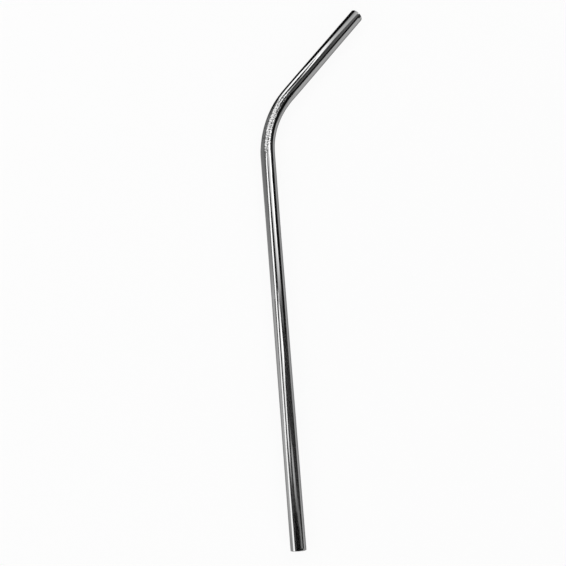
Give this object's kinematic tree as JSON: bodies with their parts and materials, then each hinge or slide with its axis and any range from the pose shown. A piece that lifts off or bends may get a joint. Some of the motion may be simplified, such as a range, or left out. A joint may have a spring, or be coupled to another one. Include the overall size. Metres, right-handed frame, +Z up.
{
  "type": "bent drinking straw",
  "caption": "Bent drinking straw of polished stainless steel tube: a long straight leg, one smooth bend and a shorter straight mouth end, with rounded lips.",
  "frame": {"origin": "bottom centre of the straw's box, on the surface that it lies on", "axes": "+Z up from that surface, +Y along the leg from its foot to the bend, +X to the side that the mouth end leans to"},
  "size_m": [0.0502, 0.2272, 0.006],
  "materials": {
    "polished_steel": "polished"
  },
  "bodies": {
    "root": {"straw_tube": "polished_steel"}
  },
  "joints": []
}
